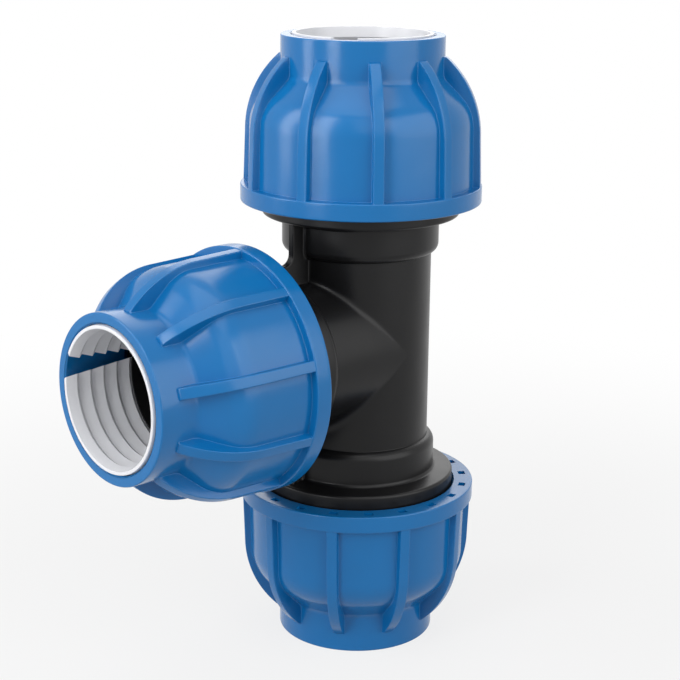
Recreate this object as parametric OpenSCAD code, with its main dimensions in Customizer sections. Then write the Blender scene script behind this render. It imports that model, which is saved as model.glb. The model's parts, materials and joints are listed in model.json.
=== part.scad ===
// Equal tee for polyethylene water pipe with three screwed compression ends.
// Each end holds a threaded nut, a slotted clinch ring, a pressure bush and an O-ring.
// All lengths are millimetres. The run stands along Z on the bottom nut, the branch
// points to -Y, and the origin is the middle of the bottom nut's end face.

/* [Pipe and seal] */
// Outside diameter of the pipe that every port takes
pipe_d = 50; // [45:0.5:55]
// Radial clearance between the pipe and the body's socket
socket_gap = 0.3; // [0.1:0.05:0.5]
// Radial clearance between the pipe and the O-ring
seal_gap = 0.25; // [0.15:0.05:0.4]
// Thickness of the O-ring's section
seal_d = 5.7; // [4:0.1:7]
// Radial clearance between the pipe and the bush
bush_gap = 0.5; // [0.3:0.05:1]

/* [Body] */
// Wall of the barrels that cross in the middle
barrel_wall = 5.2; // [3:0.1:7]
// Height of the ledge that stops the pipe
stop_ledge = 1.9; // [1:0.1:3]
// Wall of the neck around the pipe's socket
neck_wall = 6.15; // [5:0.05:8]
// Wall between the O-ring's seat and the thread
spigot_wall = 7.35; // [6:0.05:10]
// Height of the collar over the threaded end
collar_h = 1.1; // [0.6:0.1:2]
// Length of each barrel, from the centre of the tee to the step of its neck
barrel_len = 38.5; // [36:0.5:45]
// Radius that rounds the step into the neck
step_round = 3.6; // [3:0.1:6]
// Length of the neck, from the foot of its step to the low cone
neck_len = 14; // [9:0.1:18]
// Length of the low cone from neck to collar
flare_len = 1; // [0.5:0.1:4]
// Width of the collar
collar_len = 7.5; // [6:0.1:10]
// Length of the threaded end
spigot_len = 23; // [20:0.5:28]
// Depth of the seat that holds the O-ring and the bush's tail
seat_depth = 14; // [12:0.1:18]
// Length of the socket that guides the pipe
socket_len = 30; // [24:0.5:34]
// Thickness of the webs in the corners above and below the branch
web_t = 3; // [2:0.1:4]
// Height of the webs over the necks
web_h = 5.7; // [3:0.1:7]
// Radius that rounds the inner corner of each web's free edge
web_round = 4; // [3:0.5:14]

/* [Nut] */
// Length of each nut
nut_len = 65.1; // [60:0.1:72]
// Radial clearance between the nut and the threaded end
thread_gap = 0.5; // [0.3:0.05:0.8]
// Wall of the nut around its thread
nut_wall = 5.3; // [4:0.1:7]
// Taper of the wall and the ribs towards the mouth, on the radius
nut_draft = 0.7; // [0.2:0.1:1]
// Angle of the slope from the wall down to the mouth collar
slope_deg = 45; // [35:1:55]
// Radius that rounds the wall into the slope
slope_round = 16.7; // [8:0.1:18]
// Radius that rounds the slope into the mouth collar
foot_round = 4; // [1:0.5:6]
// Height of the grip ribs over the wall
rib_h = 2.9; // [1.5:0.1:5]
// Thickness of each grip rib
rib_w = 4.3; // [2.5:0.1:6]
// Number of grip ribs
rib_count = 10; // [6:1:14]
// Radius of the ribs' rounded shoulder
rib_round = 41; // [38:0.5:46]
// Distance from the mouth to the start of the ribs' rounded shoulder
rib_round_len = 38.8; // [34:0.1:42]
// Height of the ribs' blunt ends over the mouth collar
rib_end_h = 0.7; // [0.3:0.1:1.5]
// Width of the rim at the back of the nut
rim_len = 6.8; // [5:0.1:9]
// Height of the rim over the ribs
rim_h = 0.3; // [0.1:0.1:1]
// Radial clearance between the rim and the body's collar
rim_gap = 0.8; // [0.4:0.1:1.2]
// Depth of the counterbore that takes the body's collar
counterbore_len = 2.6; // [1.5:0.1:4]
// Wall of the mouth collar
mouth_wall = 4.3; // [3:0.1:6]
// Length of the mouth collar
mouth_len = 15.9; // [12:0.1:18]
// Half angle of the cone that closes the clinch ring
cone_deg = 7.5; // [6:0.25:8.5]
// Length of the shoulder that slopes from the thread to the cone
shoulder_len = 2; // [1:0.5:3]

/* [Pockets in the nut's rim] */
// Number of pockets in the back face of the rim
pocket_count = 20; // [10:1:30]
// Width of a pocket around the rim
pocket_w = 3.5; // [2:0.1:5]
// Width of a pocket across the rim
pocket_t = 2.7; // [1.5:0.1:4]
// Depth of a pocket
pocket_depth = 1.2; // [0.6:0.1:2]

/* [Clinch ring] */
// How far the top and the branch ring stand out of their nuts
ring_proud = 0.6; // [0:0.1:1.2]
// Wall of the ring at its front edge
ring_wall = 1.35; // [1:0.05:2]
// From the nut's mouth to the tip of the ring's first tooth
tooth_start = 3.6; // [2:0.1:5]
// Height of the lead-in before that tooth
lead_h = 1; // [0.3:0.1:1.4]
// Height of the ring's teeth
tooth_h = 1.1; // [0.6:0.1:1.5]
// Length of the slope behind each tooth's tip
tooth_back = 1.5; // [0:0.1:3]
// Distance from one tooth to the next
tooth_pitch = 5.9; // [5:0.1:7]
// Width of the ring's slot inside, at its front
slot_front_w = 7.8; // [4:0.1:12]
// Width of the slot inside, at its back
slot_back_w = 2.1; // [1:0.1:4]
// Angle by which each side of the slot flares outwards
slot_flare = 42; // [0:1:50]
// Radial clearance between the ring and the nut's cone
cone_gap = 0.25; // [0.15:0.05:0.4]

/* [Bush] */
// Thickness of the bush's head along the port
bush_head_len = 6.9; // [5:0.1:8]
// Height of the bush's head over its seat
bush_head_h = 3.5; // [2:0.1:5]

/* [Fits] */
// Clearance between faces that press on each other along a port
end_gap = 0.3; // [0.2:0.05:0.5]
// Radial clearance of the O-ring and the bush in their seat
seat_gap = 0.1; // [0.05:0.05:0.2]
// Size of the small bevels on edges
bevel = 0.7; // [0.3:0.1:1]

/* [Turn of each piece on its port] */
// Angle of the first rib on the top nut
top_rib_deg = 0.5; // [0:0.1:36]
// Angle of the first rib on the bottom nut
bottom_rib_deg = 19.3; // [0:0.1:36]
// Angle of the first rib on the branch nut
branch_rib_deg = 14.6; // [0:0.1:36]
// Angle of the slot in the top ring
top_slot_deg = 302; // [0:1:360]
// Angle of the slot in the bottom ring
bottom_slot_deg = 120; // [0:1:360]
// Angle of the slot in the branch ring
branch_slot_deg = 164; // [0:1:360]

/* [Hidden] */
$fn = 96;
// How far a cutting shape runs past the face that it opens
past = 1;
// Straight pieces in each arc of an outline
arc_steps = 8;

body_black = "#1d1d1f";
nut_blue = "#2f78c2";
ring_white = "#e8eaf0";
bush_black = "#27272a";
seal_black = "#101011";

// Radii of the body, from the pipe outwards
pipe_r = pipe_d / 2;
socket_r = pipe_r + socket_gap;
flow_r = socket_r - stop_ledge;
barrel_r = flow_r + barrel_wall;
neck_r = socket_r + neck_wall;
web_reach = neck_r + web_h;
seal_in_r = pipe_r + seal_gap;
seat_r = seal_in_r + seal_d + seat_gap;
thread_r = seat_r + spigot_wall;
collar_r = thread_r + collar_h;

// Stations along a port, from the centre of the tee outwards
step_deg = acos(1 - (neck_r - barrel_r) / step_round);
neck_s = barrel_len + step_round * sin(step_deg);
flare_s = barrel_len + neck_len;
collar_s = flare_s + flare_len;
spigot_s = collar_s + collar_len;
spigot_end_s = spigot_s + spigot_len;
seat_s = spigot_end_s - seat_depth;
stop_s = seat_s - socket_len;
seal_s = seat_s + seat_gap + seal_d / 2;
bush_tail_s = seal_s + seal_d / 2 + seat_gap;
bush_head_s = spigot_end_s + end_gap;
ring_back_s = bush_head_s + bush_head_len + end_gap;
nut_s = spigot_s + end_gap - counterbore_len;
mouth_s = nut_s + nut_len;

// Radii of the bush and the clinch ring
bush_in_r = pipe_r + bush_gap;
bush_tail_r = seat_r - seat_gap;
bush_head_r = seat_r + bush_head_h;
tip_r = socket_r;
root_r = tip_r + tooth_h;
tooth_count = floor((mouth_s - tooth_start - ring_back_s) / tooth_pitch);

// Radii of the nut, from the inner pieces outwards
mouth_bore_r = tip_r + lead_h + ring_wall + cone_gap;
mouth_r = mouth_bore_r + mouth_wall;
nut_bore_r = thread_r + thread_gap;
rim_bore_r = collar_r + rim_gap;
wall_front_r = nut_bore_r + nut_wall;
wall_back_r = wall_front_r + nut_draft;
rib_front_r = wall_front_r + rib_h;
rib_back_r = rib_front_r + nut_draft;
rim_r = rib_back_r + rim_h;
pocket_r = (rim_bore_r + rim_r) / 2;

// Stations on the nut, along the same port
rim_front_s = nut_s + rim_len;
slope_foot_s = mouth_s - mouth_len;
slope_top_s = slope_foot_s - (wall_front_r - mouth_r) / tan(slope_deg);
rib_round_s = mouth_s - rib_round_len;
rib_centre_r = rib_front_r - rib_round;
rib_end_deg = asin((mouth_r + rib_end_h - rib_centre_r) / rib_round);
rib_end_s = rib_round_s + rib_round * cos(rib_end_deg);
shoulder_s = ring_back_s + 2 * end_gap;
cone_s = shoulder_s + shoulder_len;

function cone_r(s) = mouth_bore_r + (mouth_s - s) * tan(cone_deg);

// Points of an arc around centre c, as [radius, station] pairs
function arc(c, r, from, to) = [
  for (i = [0 : arc_steps]) let (a = from + (to - from) * i / arc_steps)
    [c[0] + r * cos(a), c[1] + r * sin(a)]
];

// Stands a port's own Z axis on each way out of the tee
module at_top() translate([0, 0, mouth_s]) children();
module at_bottom() translate([0, 0, mouth_s]) rotate([180, 0, 0]) children();
module at_branch() translate([0, 0, mouth_s]) rotate([90, 0, 0]) children();

// Outside of one arm, solid to its axis. The step rises from the barrel as one arc.
module arm_outside() {
  rotate_extrude()
    polygon(concat(
      [[0, 0], [barrel_r, 0]],
      arc([neck_r - step_round, neck_s], step_round, -step_deg, 0),
      [
        [neck_r, flare_s], [collar_r, collar_s], [collar_r, spigot_s],
        [thread_r, spigot_s], [thread_r, spigot_end_s - 2 * bevel],
        [thread_r - 2 * bevel, spigot_end_s], [0, spigot_end_s]
      ]
    ));
}

// Stepped hole of one arm: waterway, pipe socket and seat
module arm_hole() {
  cylinder(r = flow_r, h = spigot_end_s);
  translate([0, 0, stop_s]) cylinder(r = socket_r, h = spigot_end_s - stop_s);
  translate([0, 0, seat_s]) cylinder(r = seat_r, h = seat_depth + past);
  translate([0, 0, spigot_end_s - bevel])
    cylinder(r1 = seat_r, r2 = seat_r + bevel + past, h = bevel + past);
}

// Web in the corner between the run and the branch, from collar to collar. Its free edge
// runs along both arms and is rounded where they meet.
module corner_web() {
  end_s = (collar_s + spigot_s) / 2;
  bend = web_reach + web_round;
  rotate([90, 0, -90]) translate([0, 0, -web_t / 2]) linear_extrude(web_t)
    polygon(concat(
      [[0, 0], [end_s, 0], [end_s, web_reach]],
      arc([bend, bend], web_round, 270, 180),
      [[web_reach, end_s], [0, end_s]]
    ));
}

module tee_body() color(body_black) difference() {
  union() {
    at_top() arm_outside();
    at_bottom() arm_outside();
    at_branch() arm_outside();
    at_top() corner_web();
    at_bottom() mirror([0, 1, 0]) corner_web();
  }
  at_top() arm_hole();
  at_bottom() arm_hole();
  at_branch() arm_hole();
}

// Rim, wall, slope and mouth collar of a nut, solid to the axis
module nut_outside() {
  slope_tan = slope_round * tan(slope_deg / 2);
  foot_tan = foot_round * tan(slope_deg / 2);
  rotate_extrude()
    polygon(concat(
      [
        [0, nut_s], [rim_r - bevel, nut_s], [rim_r, nut_s + bevel],
        [rim_r, rim_front_s - bevel], [rim_r - bevel, rim_front_s],
        [wall_back_r, rim_front_s]
      ],
      arc([wall_front_r - slope_round, slope_top_s - slope_tan], slope_round, 0, slope_deg),
      arc([mouth_r + foot_round, slope_foot_s + foot_tan], foot_round, 180 + slope_deg, 180),
      [[mouth_r, mouth_s - bevel], [mouth_r - bevel, mouth_s], [0, mouth_s]]
    ));
}

// Outline that the ribs fill, turned around the port's axis
module rib_envelope() {
  rotate_extrude()
    polygon(concat(
      [[0, nut_s + bevel], [rib_back_r, nut_s + bevel], [rib_back_r, rim_front_s]],
      arc([rib_centre_r, rib_round_s], rib_round, 0, 90 - rib_end_deg),
      [[0, rib_end_s]]
    ));
}

module nut_ribs() {
  intersection() {
    rib_envelope();
    for (i = [0 : rib_count - 1])
      rotate([0, 0, i * 360 / rib_count])
        translate([mouth_bore_r + mouth_wall / 2, -rib_w / 2, nut_s])
          cube([rib_back_r, rib_w, nut_len]);
  }
}

// Hollow of a nut: counterbore, thread bore, shoulder and the ring's cone
module nut_hollow() {
  rotate_extrude()
    polygon([
      [0, nut_s - past], [rim_bore_r, nut_s - past],
      [rim_bore_r, nut_s + counterbore_len - (rim_bore_r - nut_bore_r) / 2],
      [nut_bore_r, nut_s + counterbore_len],
      [nut_bore_r, shoulder_s],
      [cone_r(cone_s), cone_s],
      [cone_r(mouth_s - bevel), mouth_s - bevel],
      [mouth_bore_r + bevel, mouth_s], [mouth_bore_r + bevel, mouth_s + past], [0, mouth_s + past]
    ]);
}

// Pockets in the rim's back face, the first one behind the first rib
module rim_pockets() {
  for (i = [0 : pocket_count - 1])
    rotate([0, 0, i * 360 / pocket_count])
      translate([pocket_r - pocket_t / 2, -pocket_w / 2, nut_s - past])
        cube([pocket_t, pocket_w, pocket_depth + past]);
}

// A nut with its first rib at the given angle
module nut(rib_deg) color(nut_blue) rotate([0, 0, rib_deg]) difference() {
  union() {
    nut_outside();
    nut_ribs();
  }
  nut_hollow();
  rim_pockets();
}

// What a ring's slot takes away on one side of the middle plane and beyond it. The side
// leans by slot_flare around the port and by taper along it.
module slot_half(ring_front_s) {
  taper = (slot_front_w - slot_back_w) / 2 / (ring_front_s - ring_back_s);
  translate([tip_r, slot_front_w / 2, ring_front_s])
    rotate([-atan(taper * cos(slot_flare)), 0, slot_flare])
      translate([-thread_r, -thread_r, -mouth_s])
        cube([2 * thread_r, thread_r, 2 * mouth_s]);
}

// Slotted ring with grip teeth, its slot at the given angle. It stands out of the nut by proud.
module clinch_ring(slot_deg, proud) color(ring_white) rotate([0, 0, slot_deg]) {
  ring_front_s = mouth_s + proud;
  difference() {
    rotate_extrude()
      polygon(concat(
        [
          [cone_r(ring_back_s) - cone_gap, ring_back_s],
          [cone_r(ring_front_s) - cone_gap, ring_front_s],
          [tip_r + lead_h, ring_front_s]
        ],
        [
          for (i = [0 : tooth_count]) let (s = mouth_s - tooth_start - i * tooth_pitch)
            each [[tip_r, s], [root_r, s - tooth_back]]
        ],
        [[root_r, ring_back_s]]
      ));
    intersection() {
      slot_half(ring_front_s);
      mirror([0, 1, 0]) slot_half(ring_front_s);
    }
  }
}

// Flanged sleeve that the ring presses onto the O-ring
module bush() color(bush_black) rotate_extrude() polygon([
  [bush_in_r, bush_tail_s], [bush_tail_r, bush_tail_s],
  [bush_tail_r, bush_head_s], [bush_head_r, bush_head_s],
  [bush_head_r, bush_head_s + bush_head_len - bevel],
  [bush_head_r - bevel, bush_head_s + bush_head_len],
  [bush_in_r, bush_head_s + bush_head_len]
]);

module o_ring() color(seal_black)
  translate([0, 0, seal_s]) rotate_extrude()
    translate([seal_in_r + seal_d / 2, 0]) circle(d = seal_d);

tee_body();
at_top() nut(top_rib_deg);  // top_nut
at_top() clinch_ring(top_slot_deg, ring_proud);  // top_clinch_ring
at_top() bush();  // top_bush
at_top() o_ring();  // top_o_ring
at_bottom() nut(bottom_rib_deg);  // bottom_nut
at_bottom() clinch_ring(bottom_slot_deg, -end_gap);  // bottom_clinch_ring
at_bottom() bush();  // bottom_bush
at_bottom() o_ring();  // bottom_o_ring
at_branch() nut(branch_rib_deg);  // branch_nut
at_branch() clinch_ring(branch_slot_deg, ring_proud);  // branch_clinch_ring
at_branch() bush();  // branch_bush
at_branch() o_ring();  // branch_o_ring
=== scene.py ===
"""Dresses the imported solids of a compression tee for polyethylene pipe.

Every piece replaces its plain solid with a finer surface at the same place. A port is one of the tee's
three ends. Its own frame has Z along the port, out of the tee, and its origin where the three axes
meet. An outline is a list of points (radius, station), a station being a distance along the port.
Names end in _r for a radius and in _s for a station. All lengths are metres, but the sidebar's sizes
are given their defaults in millimetres.
"""

import json
import math

import bmesh
import bpy
import numpy as np
from bpy.props import FloatProperty, FloatVectorProperty, IntProperty, PointerProperty
from bpy.types import Operator, Panel, PropertyGroup
from mathutils import Matrix, Vector

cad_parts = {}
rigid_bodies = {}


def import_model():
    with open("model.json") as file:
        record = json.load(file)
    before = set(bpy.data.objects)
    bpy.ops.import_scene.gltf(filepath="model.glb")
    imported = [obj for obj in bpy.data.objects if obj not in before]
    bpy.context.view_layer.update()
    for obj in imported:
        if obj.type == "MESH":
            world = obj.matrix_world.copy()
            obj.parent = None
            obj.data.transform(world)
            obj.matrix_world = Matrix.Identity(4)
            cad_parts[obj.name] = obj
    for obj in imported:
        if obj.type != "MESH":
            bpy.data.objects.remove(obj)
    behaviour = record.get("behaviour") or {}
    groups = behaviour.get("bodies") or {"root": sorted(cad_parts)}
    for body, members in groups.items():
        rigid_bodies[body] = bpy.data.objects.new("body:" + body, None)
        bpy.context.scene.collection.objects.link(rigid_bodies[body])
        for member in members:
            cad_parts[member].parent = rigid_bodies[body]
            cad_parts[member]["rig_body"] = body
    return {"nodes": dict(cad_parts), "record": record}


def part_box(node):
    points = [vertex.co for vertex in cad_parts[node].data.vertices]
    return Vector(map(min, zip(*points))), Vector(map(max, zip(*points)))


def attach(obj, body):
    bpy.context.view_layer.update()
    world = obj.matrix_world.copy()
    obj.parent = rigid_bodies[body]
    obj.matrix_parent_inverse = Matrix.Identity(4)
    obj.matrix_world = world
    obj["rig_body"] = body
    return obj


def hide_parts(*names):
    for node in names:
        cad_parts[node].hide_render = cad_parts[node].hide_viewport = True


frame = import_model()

bl_info = {
    "name": "Compression Tee",
    "version": (1, 0, 0),
    "blender": (4, 5, 0),
    "location": "View3D > Sidebar > Tee",
    "description": "Builds the finished pieces of a pipe compression tee",
    "category": "Mesh",
}

MM = 0.001
TURN = 2 * math.pi

# Width of the camera's sensor
SENSOR_MM = 36

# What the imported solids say
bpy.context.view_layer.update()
CENTRE_Z = (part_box("bottom_nut")[0].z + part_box("top_nut")[1].z) / 2


def on_top_port(node):
    """Largest radius, first and last station of a piece of the top port."""
    low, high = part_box(node)
    return high.x, low.z - CENTRE_Z, high.z - CENTRE_Z


COLLAR_R, _, SPIGOT_END_S = on_top_port("tee_body")
RIM_R, NUT_S, MOUTH_S = on_top_port("top_nut")
RING_R, RING_BACK_S, _ = on_top_port("top_clinch_ring")
BUSH_HEAD_R, BUSH_TAIL_S, BUSH_END_S = on_top_port("top_bush")
SEAL_OUT_R, SEAL_BACK_S, SEAL_FRONT_S = on_top_port("top_o_ring")
PORT_MOUNT = next(m for m in frame["record"]["mounts"] if m["name"] == "top_port")
SOCKET_R = PORT_MOUNT["dims"]["r_mm"] * MM

RING_FRONT_S = {
    "top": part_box("top_clinch_ring")[1].z - CENTRE_Z,
    "bottom": CENTRE_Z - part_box("bottom_clinch_ring")[0].z,
    "branch": -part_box("branch_clinch_ring")[0].y,
}

# How each port's own frame is turned in the shared frame
PORT_AXES = {
    "top": np.array([[1, 0, 0], [0, 1, 0], [0, 0, 1]]),
    "bottom": np.array([[1, 0, 0], [0, -1, 0], [0, 0, -1]]),
    "branch": np.array([[1, 0, 0], [0, 0, -1], [0, 1, 0]]),
}


def linear(code):
    """The linear colour of an sRGB hex code."""
    c = np.array([int(code[i : i + 2], 16) for i in (0, 2, 4)]) / 255
    return tuple(np.where(c <= 0.04045, c / 12.92, ((c + 0.055) / 1.055) ** 2.4).tolist())


def length(name, description, millimetres):
    """A length in the sidebar, with its default in millimetres."""
    return FloatProperty(
        name=name, description=description, default=millimetres * MM, min=0, precision=5,
        unit="LENGTH", subtype="DISTANCE",
    )


def angle(name, description, degrees):
    """An angle in the sidebar."""
    return FloatProperty(
        name=name, description=description, default=math.radians(degrees),
        unit="ROTATION", subtype="ANGLE",
    )


def colour(name, description, code):
    """A colour in the sidebar."""
    return FloatVectorProperty(
        name=name, description=description, default=linear(code), size=3, min=0, max=1,
        subtype="COLOR",
    )


class BodySizes(PropertyGroup):
    """Sizes of the black body."""

    flow_r: length("Waterway radius", "Radius of the crossing waterways", 23.4)
    barrel_r: length("Barrel radius", "Outer radius of the crossing barrels", 28.6)
    barrel_len: length("Barrel length", "From the tee's centre to the foot of the step", 38.5)
    step_round: length("Step rounding", "Radius that rounds the step into the neck", 3.6)
    neck_r: length("Neck radius", "Outer radius of the neck around the pipe's socket", 31.45)
    neck_len: length("Neck length", "From the foot of the step to the low cone", 14)
    flare_len: length("Flare length", "Length of the low cone from neck to collar", 1)
    flare_round: length("Flare rounding", "Radius where the neck turns into that cone", 1.5)
    collar_len: length("Collar width", "Width of the collar behind the thread", 7.5)
    collar_round: length("Collar rounding", "Radius of the collar's shoulder", 1.2)
    seat_r: length("Seat radius", "Radius of the seat of O-ring and bush", 31.05)
    seat_depth: length("Seat depth", "Depth of the seat of O-ring and bush", 14)
    socket_len: length("Socket length", "Length of the socket that guides the pipe", 30)
    upper_ball: length("Upper fillet", "Radius of the fillet above the branch", 3)
    lower_ball: length("Lower fillet", "Radius of the fillet below the branch", 6)
    edge: length("Edge rounding", "Radius of the body's small edges", 0.5)
    web_t: length("Web thickness", "Thickness of the two webs beside the branch", 3)
    web_h: length("Web height", "Height of the webs over the necks", 5.7)
    web_round: length("Web corner", "Radius of the bend in each web's free edge", 4)
    web_root: length("Web root", "Radius between a web and the arms", 0.8)


class ThreadSizes(PropertyGroup):
    """Sizes of the coarse thread between body and nut."""

    pitch: length("Pitch", "Distance that a nut moves in one turn", 5.5)
    core_r: length("Core radius", "Radius of the body between its threads", 37.3)
    crest_r: length("Crest radius", "Radius over the body's threads", 38.95)
    nut_crest_r: length("Nut crest radius", "Radius inside the nut's threads", 37.85)
    nut_root_r: length("Nut root radius", "Radius of the nut between its threads", 39.5)
    crest_w: length("Crest width", "Width of a thread at its crest", 1.5)
    flank: angle("Flank angle", "Slope of each side of a thread", 30)
    crest_round: length("Crest rounding", "Radius of a thread's crest edges", 0.25)


class NutSizes(PropertyGroup):
    """Sizes of the blue nuts."""

    rim_len: length("Rim width", "Width of the rim at the back", 6.8)
    rim_bore_r: length("Rim bore radius", "Radius of the counterbore over the collar", 40.3)
    counterbore_len: length("Counterbore depth", "Depth of the counterbore", 2.6)
    wall_r: length("Wall radius", "Radius of the wall where its slope begins", 44.2)
    draft: length("Draft", "Growth of wall and ribs towards the rim, on the radius", 0.7)
    slope: angle("Slope", "Angle of the slope from wall to mouth collar", 45)
    slope_round: length("Slope rounding", "Radius that rounds the wall into the slope", 16.7)
    foot_round: length("Foot rounding", "Radius that rounds the slope into the collar", 4)
    mouth_r: length("Mouth radius", "Outer radius of the mouth collar", 32.2)
    mouth_len: length("Mouth length", "Length of the mouth collar", 15.9)
    mouth_bore_r: length("Mouth bore radius", "Radius of the cone at the mouth", 27.9)
    cone: angle("Cone", "Half angle of the cone that closes the clinch ring", 7.5)
    cone_back: length("Cone start", "From the ring's back to the cone's wide end", 2.6)
    shoulder_len: length("Shoulder", "Length of the slope from thread to cone", 2)
    rib_count: IntProperty(name="Ribs", description="Number of grip ribs", default=10, min=6)
    rib_h: length("Rib height", "Height of the grip ribs over the wall", 2.9)
    rib_w: length("Rib width", "Thickness of each grip rib", 4.3)
    rib_round: length("Rib shoulder", "Radius of the ribs' rounded shoulder", 41)
    rib_round_len: length("Rib shoulder place", "From the mouth to that shoulder", 38.8)
    rib_end_h: length("Rib end height", "Height of the ribs' blunt ends", 0.7)
    rib_edge: length("Rib edge", "Radius of the ribs' long edges", 0.35)
    rib_root: length("Rib root", "Radius between rib and wall", 0.25)
    edge: length("Edge rounding", "Radius of the rim's and mouth's edges", 0.55)
    pocket_r: length("Pocket circle", "Radius of the circle of pockets in the rim", 44.2)
    pocket_w: length("Pocket width", "Width of a pocket around the rim", 3.5)
    pocket_t: length("Pocket height", "Width of a pocket across the rim", 2.7)
    pocket_depth: length("Pocket depth", "Depth of a pocket", 1.2)


class RingSizes(PropertyGroup):
    """Sizes of the white clinch rings."""

    tooth_start: length("First tooth", "From the nut's mouth to the first tooth's tip", 3.6)
    lead_h: length("Lead-in height", "Height of the sloped front inside", 1)
    tooth_h: length("Tooth height", "Height of the teeth", 1.1)
    tooth_back: length("Tooth back", "Length of the slope behind each tip", 1.5)
    tooth_pitch: length("Tooth pitch", "Distance from tooth to tooth", 5.9)
    tooth_count: IntProperty(name="Teeth", description="Teeth behind the first", default=4, min=1)
    slot_front_w: length("Slot width in front", "Inner width of the slot at its front", 7.8)
    slot_back_w: length("Slot width behind", "Inner width of the slot at its back", 2.1)
    slot_flare: angle("Slot flare", "Angle by which the slot's sides open outwards", 42)
    edge: length("Edge rounding", "Radius of the ring's edges", 0.25)
    tip: length("Tip rounding", "Radius of the teeth's tips", 0.16)


class SealSizes(PropertyGroup):
    """Sizes of the bushes and the O-rings."""

    bush_in_r: length("Bush bore", "Inner radius of the bush", 25.5)
    bush_tail_r: length("Bush tail", "Outer radius of the bush in its seat", 30.95)
    bush_head_len: length("Bush head", "Length of the bush's head", 6.9)
    bush_edge: length("Bush edges", "Radius of the bush's edges", 0.6)
    nose_gap: length("Nose clearance", "Radial clearance of the bush's nose in the ring", 0.25)
    nose_edge: length("Nose edges", "Radius of the edges of the bush's nose", 0.15)
    flash_h: length("Parting line", "Height of the O-ring's parting line", 0.05)
    flash_w: length("Parting line width", "Width of the O-ring's parting line", 0.25)


class Turns(PropertyGroup):
    """How far each nut and clinch ring is turned on its port."""

    top_rib: angle("Top nut", "Angle of the top nut's first rib", 0.5)
    bottom_rib: angle("Bottom nut", "Angle of the bottom nut's first rib", 19.3)
    branch_rib: angle("Branch nut", "Angle of the branch nut's first rib", 14.6)
    top_slot: angle("Top ring", "Angle of the top ring's slot", 302)
    bottom_slot: angle("Bottom ring", "Angle of the bottom ring's slot", 120)
    branch_slot: angle("Branch ring", "Angle of the branch ring's slot", 164)


class Finishes(PropertyGroup):
    """Colours of the mouldings and of the room."""

    nut: colour("Nut", "Pigmented polypropylene of the nuts", "0765A2")
    body: colour("Body", "Black polypropylene of the body", "101011")
    bush: colour("Bush", "Black polypropylene of the bushes", "131314")
    ring: colour("Clinch ring", "Natural acetal of the clinch rings", "D6D7DB")
    seal: colour("O-ring", "Black nitrile rubber of the O-rings", "121213")
    floor: colour("Floor", "Pale floor under the tee", "C0C0C0")


class View(PropertyGroup):
    """Where the camera stands, measured from the tee's centre."""

    azimuth: angle("Azimuth", "Turn of the camera round the tee", 47.155)
    elevation: angle("Elevation", "Height of the camera above the horizon", 15.666)
    roll: angle("Roll", "Turn of the camera about its own axis", 0.602)
    distance: length("Distance", "From the camera to the point that it looks at", 669.8)
    aim_left: length("Aim to the left", "How far left of the centre it looks", 7.735)
    aim_down: length("Aim below", "How far below the centre it looks", 0.063)
    lens: FloatProperty(
        name="Lens", description=f"Focal length on a {SENSOR_MM} mm sensor", default=86.647,
        unit="CAMERA",
    )


class TeeSettings(PropertyGroup):
    """Everything that the sidebar shows."""

    body: PointerProperty(type=BodySizes)
    thread: PointerProperty(type=ThreadSizes)
    nut: PointerProperty(type=NutSizes)
    ring: PointerProperty(type=RingSizes)
    seal: PointerProperty(type=SealSizes)
    turns: PointerProperty(type=Turns)
    finishes: PointerProperty(type=Finishes)
    view: PointerProperty(type=View)


# Outlines and grids


def rounded(corners, steps=4, closed=False):
    """An outline through corners (radius, station, rounding, steps), the last two optional.

    A rounded corner becomes an arc that touches both of its sides, at a distance of the rounding over
    the tangent of half the corner's angle. Its points are a blend of the arc's first and last spoke,
    each weighted by the sine of the angle that is still to go to the other."""
    points = np.array([c[:2] for c in corners], float)
    made = []
    for i, corner in enumerate(corners):
        here = points[i]
        if len(corner) < 3 or not (closed or 0 < i < len(corners) - 1):
            made.append(here[None])
            continue
        back, on = points[i - 1] - here, points[(i + 1) % len(corners)] - here
        back, on = back / np.hypot(*back), on / np.hypot(*on)
        half = math.acos(float(np.clip(back @ on, -1, 1))) / 2
        reach = corner[2] / math.tan(half)
        centre = here + (back + on) / np.hypot(*(back + on)) * corner[2] / math.sin(half)
        first, last = here + reach * back - centre, here + reach * on - centre
        turn = math.pi - 2 * half
        share = np.linspace(0, 1, (corner[3] if len(corner) > 3 else steps) + 1)[:, None]
        spokes = np.sin((1 - share) * turn) * first + np.sin(share * turn) * last
        made.append(centre + spokes / math.sin(turn))
    return np.concatenate(made)


def divided(outline, longest):
    """The same outline, with points added evenly along every side that is longer than that."""
    sides = np.hypot(*np.diff(outline, axis=0).T)
    counts = np.maximum(np.ceil(sides / longest), 1).astype(int)
    places = np.concatenate([i + np.arange(n) / n for i, n in enumerate(counts)] + [[len(sides)]])
    return np.stack([np.interp(places, np.arange(len(outline)), c) for c in outline.T], -1)


def polar(r, turn, s):
    """Points of a port's own frame from their radius, angle and station."""
    r, turn, s = np.broadcast_arrays(r, turn, s)
    return np.stack([r * np.cos(turn), r * np.sin(turn), s], -1)


def placed(points, port):
    """Points of a port's own frame, in the shared frame."""
    return points @ PORT_AXES[port].T + np.array([0, 0, CENTRE_Z])


def quads(rows, columns, join_rows=False):
    """Faces between neighbours of a grid whose points are counted row by row. Every row is a ring, and
    the last row may be joined to the first."""
    i = np.arange(rows if join_rows else rows - 1)[:, None]
    j = np.arange(columns)[None, :]
    here, above, on = i * columns, (i + 1) % rows * columns, (j + 1) % columns
    return np.stack([here + j, here + on, above + on, above + j], -1).reshape(-1, 4)


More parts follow.
